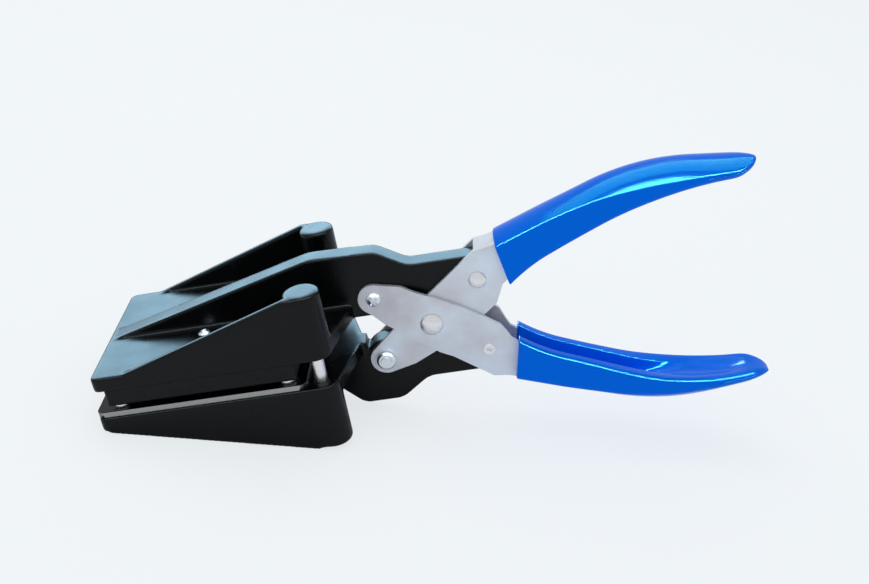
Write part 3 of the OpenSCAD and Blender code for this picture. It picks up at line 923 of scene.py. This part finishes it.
        # The trough's corners soften as it runs out into the dish
        square = self.trough_square + (2 - self.trough_square) * self.ease(self.trough_end, x)
        steep = math.atan(square * deep / inner)
        start = inner + lip * (1 - math.sin(steep))
        rise = lip * (1 - math.cos(steep))
        run = inner + lip - reach
        points = [(reach + run * k / self.dish_steps, 0.0) for k in range(1, self.dish_steps)]
        points += self.arc(inner + lip, lip, lip, -90, -90 - math.degrees(steep))
        for k in range(1, self.scoop_steps + 1):
            a = math.radians(90 * k / self.scoop_steps)
            across = start * max(0.0, math.cos(a)) ** (2 / square) if k < self.scoop_steps else 0.0
            points.append((across, rise + (deep - rise) * math.sin(a) ** 2))
        return points

    def half_section(self, t: float, depth: float) -> Profile:
        """Draw half of the grip's section, from its back round the rim to the trough's floor.

        Args:
            t: Share of the length.
            depth: Distance from rim to back.

        Returns:
            The points, over the rim.
        """
        x = self.back(t).x
        w = self.half_width_at(x)
        low, high = self.domes
        dome = low + (high - low) * self.ease(self.dome_span, x)
        steel = self.steel_half / self.half_width_at(min(x, self.length - self.tip_round))
        dished = self.ease(self.dish_start, x) * (1 - self.ease(self.dish_end, x))
        dish = min(self.dish, self.round_share * depth) * dished
        left = max(0.0, depth - self.trough_floor - dome * steel ** 2 - dish)
        deep = left * (1 - self.ease(self.trough_end, x))
        rim = min(self.rim_round, self.round_share * w, self.round_share * depth)
        reach = w - rim
        trough = self.trough_half_section(x, w, deep, reach)
        scoop = [(y, cut + dish * (1 - (y / reach) ** 2) ** 2) for y, cut in trough]
        return self.outer_half(w, depth, dome, rim) + scoop

    def section(self, t: float) -> list[Vector]:
        """Draw one closed ring of the grip.

        Args:
            t: Share of the length.

        Returns:
            The ring's points about the main rivet, in metres.
        """
        back, rim = self.back(t), self.rim(t)
        depth = (back - rim).length
        up = (back - rim) / depth
        past = max(0.0, 1 - (self.length - back.x) / self.nose_round)
        shrink = math.sqrt(1 - self.nose_cut * past * past)
        nose = self.nose_height * depth
        half = [(x, nose + (y - nose) * shrink) for x, y in self.half_section(t, depth)]
        whole = half + [(-x, y) for x, y in half[-2:0:-1]]
        return [
            Vector((rim.x + up.x * y, -x, self.way * (rim.y + up.y * y))) * MM for x, y in whole
        ]

    def build(self, shop: Workshop) -> None:
        """Make the grip as one skin over its sections.

        Args:
            shop: Shared tools.
        """
        bm = bmesh.new()
        # Rings lie closer together towards the tip
        steps = [k / self.stations for k in range(self.stations + 1)]
        shares = [k * (3 - k * k) / 2 for k in steps]
        rings = [shop.ring(bm, self.section(t), closed=True) for t in shares]
        for first, second in zip(rings, rings[1:]):
            bmesh.ops.bridge_loops(bm, edges=first + second)
        root = bmesh.ops.contextual_create(bm, geom=rings[0])["faces"][0]
        bmesh.ops.contextual_create(bm, geom=rings[-1])
        bmesh.ops.recalc_face_normals(bm, faces=bm.faces)
        shop.soften(bm, list(root.edges), self.lip, self.lip_steps)
        bmesh.ops.recalc_face_normals(bm, faces=bm.faces)
        bm.transform(Matrix.Translation(shop.stance.middle("main_rivet")))
        shop.hand_over(bm, self.node, "vinyl", self.body, Slot.BLUE_VINYL)


@dataclass(frozen=True)
class DieSet:
    """Die plate, guide block, slot spacers, punch and the screws that hold them."""

    plate_edge: float = 0.5
    block_edge: float = 1.1
    long_edge: float = 7.0
    spacer_edge: float = 0.2
    spacer_radius: float = 3.6
    bore: float = 1.51
    edge_steps: int = 3
    # Part of a face's normal across the plate under which the face takes the painted edge light
    flat_limit: float = 0.6

    def build(self, shop: Workshop) -> None:
        """Make the die set.

        Args:
            shop: Shared tools.
        """
        for node, edge, slot in (
            ("die_plate", self.plate_edge, Slot.DIE_STEEL),
            ("guide_block", self.block_edge, Slot.DARK_STEEL),
        ):
            piece = shop.detail(node, Body.LOWER_HEAD, slot, edge, self.edge_steps, self.long_edge)
            # The die plate takes painted light on its edges and painted shade on its flats
            if slot is Slot.DIE_STEEL:
                self.mark_painted_light(shop, piece.data)
        self.build_spacers(shop)
        shop.dress("punch", Slot.DIE_STEEL)
        shop.dress("die_screws", Slot.DARK_STEEL)

    def mark_painted_light(self, shop: Workshop, mesh: Mesh) -> None:
        """Mark the faces of a plate that take painted edge light rather than painted shade, by which way
        they face.

        Args:
            shop: Shared tools.
            mesh: Mesh of the plate.
        """
        up = shop.stance.turn().to_3x3() @ Vector((0, 0, 1))
        mark = mesh.attributes.new(PaintedEdgeLightSteel.mark, "FLOAT", "FACE")
        for face, value in zip(mesh.polygons, mark.data):
            value.value = float(abs(face.normal.dot(up)) < self.flat_limit)

    def build_spacers(self, shop: Workshop) -> None:
        """Turn the four spacers at the corners of their CAD node.

        Args:
            shop: Shared tools.
        """
        low, high = shop.stance.box("slot_spacers")
        inset = self.spacer_radius * MM
        half = (high.z - low.z) / 2 / MM
        profile = shop.collar(self.spacer_radius, self.bore, half, self.spacer_edge)
        bm = bmesh.new()
        for x in (low.x + inset, high.x - inset):
            for y in (low.y + inset, high.y - inset):
                shop.turned(bm, profile, Vector((x, y, (low.z + high.z) / 2)), Axis.UPRIGHT)
        shop.hand_over(bm, "slot_spacers", "turned", Body.LOWER_HEAD, Slot.BRIGHT_STEEL)


@dataclass(frozen=True)
class Guides:
    """Guide posts, bushes and return springs."""

    post_radius: float = 2.5
    post_tip: float = 0.8
    bush_radius: float = 4.0
    bush_bore: float = 2.55
    bush_edge: float = 0.3
    stroke: float = 3.0

    def build(self, shop: Workshop) -> None:
        """Make the guides on both sides.

        Args:
            shop: Shared tools.
        """
        for side in ("left", "right"):
            shop.upright(f"guide_post_{side}", Body.LOWER_HEAD, Slot.BRIGHT_STEEL, self.post_profile)
            shop.upright(
                f"post_bush_{side}", Body.UPPER_HEAD, Slot.BRONZE,
                lambda half: shop.collar(self.bush_radius, self.bush_bore, half, self.bush_edge),
            )
            self.build_spring(shop, f"return_spring_{side}")

    def post_profile(self, half: float) -> Profile:
        """Draw a guide post of a given half length about its middle, with a tapered upper end."""
        r, tip = self.post_radius, self.post_tip
        return [(0, -half), (r, -half), (r, half - tip), (r - tip, half), (0, half)]

    def build_spring(self, shop: Workshop, node: str) -> None:
        """Make a return spring in the shape of its CAD node.

        Args:
            shop: Shared tools.
            node: CAD node of the spring.
        """
        low, high = shop.stance.box(node)
        turn = shop.stance.turn()
        bm = shop.cad_copy(node)
        piece = shop.hand_over(bm, node, "coil", Body.UPPER_HEAD, Slot.SPRING_STEEL, weigh=False)
        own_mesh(piece)


@dataclass(frozen=True)
class Fasteners:
    """Rivets, pins, slide screws with nuts, and the small punch screws."""

    dome_steps: int = 8
    rim: float = 0.25
    edge: float = 0.15
    main_shank: float = 2.6
    main_head: float = 1.6
    arm_shank: float = 2.1
    arm_head: float = 1.3

    def dome(self, radius: float, height: float) -> Profile:
        """Draw a button head from its straight rim to its middle.

        Args:
            radius: Radius of the head.
            height: Height of the head over its seat.

        Returns:
            Radius and height over the seat for each point, outwards in.
        """
        rise = height - self.rim
        ball = (radius * radius + rise * rise) / (2 * rise)
        reach = math.asin(radius / ball)
        points = [(radius, 0.0)]
        for k in range(self.dome_steps + 1):
            a = reach * (1 - k / self.dome_steps)
            points.append((ball * math.sin(a), height - ball + ball * math.cos(a)))
        return points

    def riveted(self, shop: Workshop, node: str, body: Body, shank: float, height: float) -> None:
        """Make a rivet with a button head on both sides.

        Args:
            shop: Shared tools.
            node: CAD node of the rivet.
            body: Body that the rivet moves with.
            shank: Radius of the shank.
            height: Height of the heads.
        """
        low, high = shop.stance.box(node)
        radius = (high.x - low.x) / 2 / MM
        seat = (high.y - low.y) / 2 / MM - height
        cap = self.dome(radius, height)
        near = [(r, -seat - h) for r, h in reversed(cap)]
        far = [(r, seat + h) for r, h in cap]
        bm = bmesh.new()
        profile = near + [(shank, -seat), (shank, seat)] + far
        shop.turned(bm, profile, (low + high) / 2, Axis.ACROSS)
        shop.hand_over(bm, node, "turned", body, Slot.BRIGHT_STEEL)

    def build(self, shop: Workshop) -> None:
        """Make all fasteners.

        Args:
            shop: Shared tools.
        """
        self.riveted(shop, "main_rivet", Body.LOWER_HANDLE, self.main_shank, self.main_head)
        self.riveted(shop, "upper_arm_rivet", Body.UPPER_HANDLE, self.arm_shank, self.arm_head)
        shop.detail("lower_arm_pin", Body.LOWER_HANDLE, Slot.BRIGHT_STEEL, self.edge)
        for node, body in (
            ("punch_screws", Body.UPPER_HEAD),
            ("lower_slide_screw", Body.UPPER_HANDLE),
            ("lower_slide_nut", Body.UPPER_HANDLE),
            ("upper_slide_screw", Body.LOWER_HANDLE),
            ("upper_slide_nut", Body.LOWER_HANDLE),
        ):
            shop.detail(node, body, Slot.PLATED_SCREWS, self.edge)
        shop.dress("pivot_sleeve", Slot.BRIGHT_STEEL)
        for node in ("lower_slide_roller", "upper_slide_roller"):
            shop.dress(node, Slot.PLATED_SCREWS)


@dataclass(frozen=True)
class Lamp:
    """A flat lamp that lights the tool or, with flags, gives highlights to the pieces named alone."""

    name: str
    place: Triple
    aim: Triple
    size: Pair
    power: float
    colour: str = "#FFFFFF"
    roll: float = 0.0
    flagged: tuple[str, ...] = ()

    def build(self) -> None:
        """Hang the lamp and set its flags."""
        data = bpy.data.lights.new(self.name, "AREA")
        data.shape = "RECTANGLE"
        data.size, data.size_y = self.size
        data.energy = self.power
        data.color = linear(self.colour)[:3]
        lamp = add_object(self.name, data)
        place = Vector(self.place)
        turn = (Vector(self.aim) - place).to_track_quat("-Z", "Y").to_matrix().to_4x4()
        roll = Matrix.Rotation(math.radians(self.roll), 4, "Z")
        lamp.matrix_world = Matrix.Translation(place) @ turn @ roll
        lamp.visible_diffuse = not self.flagged
        if self.flagged:
            group = bpy.data.collections.new(f"{self.name}_pieces")
            for piece in self.flagged:
                group.objects.link(bpy.data.objects[piece])
            lamp.light_linking.receiver_collection = group


@dataclass(frozen=True)
class Studio:
    """Pale table, soft light and the photograph's camera, which was measured against the stance."""

    stance: Stance
    floor_half: float = 3.0
    # Matt paper from a roll: even and pale, without sheen
    paper: PaperSweep = PaperSweep("matt_white_paper", "#F4F8FB", roughness=0.9, gloss=0.0)
    sky_colour: str = "#F4F8FB"
    sky_strength: float = 0.75
    # Camera about the main rivet, along the jaws' axes
    camera_place: Triple = (46.72, -429.18, 224.0)
    camera_forward: Triple = (-0.09145, 0.89094, -0.44482)
    camera_right: Triple = (0.98524, 0.01603, -0.17046)
    lens: float = 51.63
    sensor: float = 36.0
    lamps: tuple[Lamp, ...] = (
        Lamp("soft_box", (-0.15, 0.35, 0.9), (-0.05, 0.0, 0.07), (0.7, 0.7), 2.3),
        # Window behind the tool: pale blue on whatever of the castings looks up
        Lamp(
            "window", (-0.33, 0.8, 0.6), (-0.33, 0.0, 0.6), (1.7, 0.85), 34.5, "#A9DEFB",
            roll=-8.5, flagged=CASTINGS,
        ),
        # Its left part in the lower grip: the glint at the end of the trough
        Lamp(
            "window_pane", (-0.54, 0.8, 0.5), (-0.54, 0.0, 0.5), (0.95, 0.6), 95.0, "#C4F2FF",
            flagged=("lower_grip_vinyl",),
        ),
        # Ceiling over the upper grip: a lighter, greener tone on the near half of its domed back
        Lamp(
            "ceiling", (0.05, 0.25, 1.0), (0.05, 0.25, 0.0), (1.6, 0.7), 46.0, "#8CFFC8",
            flagged=("upper_grip_vinyl",),
        ),
        # Lamp panel over the camera: the pale lines along the grips' rounded edges
        Lamp(
            "panel", (0.0, -0.45, 0.9), (0.0, 0.0, 0.07), (2.0, 0.4), 300.0, "#D8F7FF",
            flagged=("lower_grip_vinyl", "upper_grip_vinyl"),
        ),
        # Its weaker share: a faint line along the castings' near edges and glints on the screws
        Lamp(
            "edge_light", (0.0, -0.45, 0.9), (0.0, 0.0, 0.07), (2.0, 0.2), 14.0, "#D6EEFF",
            flagged=(
                *CASTINGS, "slot_spacers_turned", "punch_screws_finished",
                "upper_slide_screw_finished", "lower_slide_screw_finished",
                "lower_slide_nut_finished", "lower_arm_pin_finished",
            ),
        ),
    )

    def build(self) -> None:
        """Set up table, light and camera."""
        self.build_floor()
        self.build_sky()
        for lamp in self.lamps:
            lamp.build()
        self.build_camera()

    def build_floor(self) -> None:
        """Lay the table."""
        bm = bmesh.new()
        bmesh.ops.create_grid(bm, x_segments=1, y_segments=1, size=self.floor_half)
        mesh = as_mesh(bm, "table")
        mesh.materials.append(self.paper.build())
        floor = add_object("table", mesh)

    def build_sky(self) -> None:
        """Fill the room with even pale light."""
        world = bpy.data.worlds.new("pale_room")
        world.use_nodes = True
        tree = world.node_tree
        tree.nodes.clear()
        light = {"Color": linear(self.sky_colour), "Strength": self.sky_strength}
        glow = add_node(tree, "ShaderNodeBackground", light)
        add_node(tree, "ShaderNodeOutputWorld", {"Surface": glow.outputs["Background"]})
        bpy.context.scene.world = world

    def build_camera(self) -> None:
        """Put the camera where the photograph was taken from."""
        data = bpy.data.cameras.new("photo_camera")
        data.lens = self.lens
        data.sensor_width = self.sensor
        camera = add_object("photo_camera", data)
        forward = Vector(self.camera_forward).normalized()
        right = Vector(self.camera_right)
        right = (right - forward * right.dot(forward)).normalized()
        up = right.cross(forward)
        aim = Matrix((right, up, -forward)).transposed().to_4x4()
        place = self.stance.middle("main_rivet") + Vector(self.camera_place) * MM
        camera.matrix_world = self.stance.turn() @ Matrix.Translation(place) @ aim
        bpy.context.scene.camera = camera
        bpy.context.scene.view_settings.view_transform = "Standard"


def finishes(stance: Stance) -> dict[Slot, Material]:
    """Make the finish of every slot.

    Args:
        stance: Stance of the tool, which rolled and ground lines follow.

    Returns:
        A material for each slot.
    """
    chosen: dict[Slot, Finish] = {
        # Grey iron casting, stoved black: deep tone with broad pale reflections on its flats
        Slot.BLACK_PAINT: StovedEnamel("stoved_black_enamel", "#050607", roughness=0.28, gloss=0.2),
        # Hardened tool steel: flats painted dark as shade and a painted light line along every edge
        Slot.DIE_STEEL: PaintedEdgeLightSteel("hardened_tool_steel", "#A5A5A1", roughness=0.30, tilt=stance.tilt),
        # Blued steel block: nearly black, its oxide slightly uneven
        Slot.DARK_STEEL: MottledMetal(
            "blued_steel", "#0F0F10", roughness=0.42, metallic=0.0, gloss=0.2, second="#0A0A0B"
        ),
        # Ground and polished pin steel: clear bright reflections
        Slot.BRIGHT_STEEL: DirectionalMetal("polished_pin_steel", "#EFEDEE", roughness=0.28, spread=0.04),
        # Zinc-plated screw steel: bright, slightly blue and soft
        Slot.PLATED_SCREWS: MottledMetal("zinc_plated_steel", "#EEF1F4", roughness=0.32, second="#DFE4EA"),
        # Oil-filled sintered bronze: warm and dull, with open pores
        Slot.BRONZE: MottledMetal(
            "sintered_bronze", "#B98A4B", roughness=0.45, patch=0.6, second="#7F5A2C"
        ),
        # Patented spring wire with its drawing lubricant: grey and satin
        Slot.SPRING_STEEL: MottledMetal("drawn_spring_wire", "#8F9194", roughness=0.34, second="#77797C"),
        # Cold-rolled sheet, pressed and nickel-plated: light grey satin, its tone drifting a little
        Slot.HANDLE_SHEET: MottledMetal(
            "nickel_plated_sheet", "#E8F0F9", roughness=0.6, patch=16.0, spread=0.05, second="#DAD7DC"
        ),
        # Vinyl plastisol dip: vivid blue with a wet skin
        Slot.BLUE_VINYL: DippedVinyl("dipped_blue_vinyl", "#0069E8", roughness=0.12, ior=1.53, gloss=0.15),
    }
    return {slot: finish.build() for slot, finish in chosen.items()}


def main() -> None:
    """Build every sub-assembly in order and set up the studio."""
    logging.basicConfig(level=logging.INFO, format="%(message)s")
    stance = Stance.read()
    shop = Workshop(stance, finishes(stance))
    for assembly in (
        CastHead("lower_head", Body.LOWER_HEAD, way=-1, rim=2.4),
        CastHead("upper_head", Body.UPPER_HEAD, way=1, rim=1.6),
        DieSet(),
        Guides(),
        HandleSheet("lower_handle", Body.LOWER_HANDLE),
        HandleSheet("upper_handle", Body.UPPER_HANDLE),
        VinylGrip("lower_grip", Body.LOWER_HANDLE, way=-1),
        VinylGrip("upper_grip", Body.UPPER_HANDLE, way=1),
        Fasteners(),
    ):
        assembly.build(shop)
    Studio(stance).build()


if __name__ == "__main__":
    main()
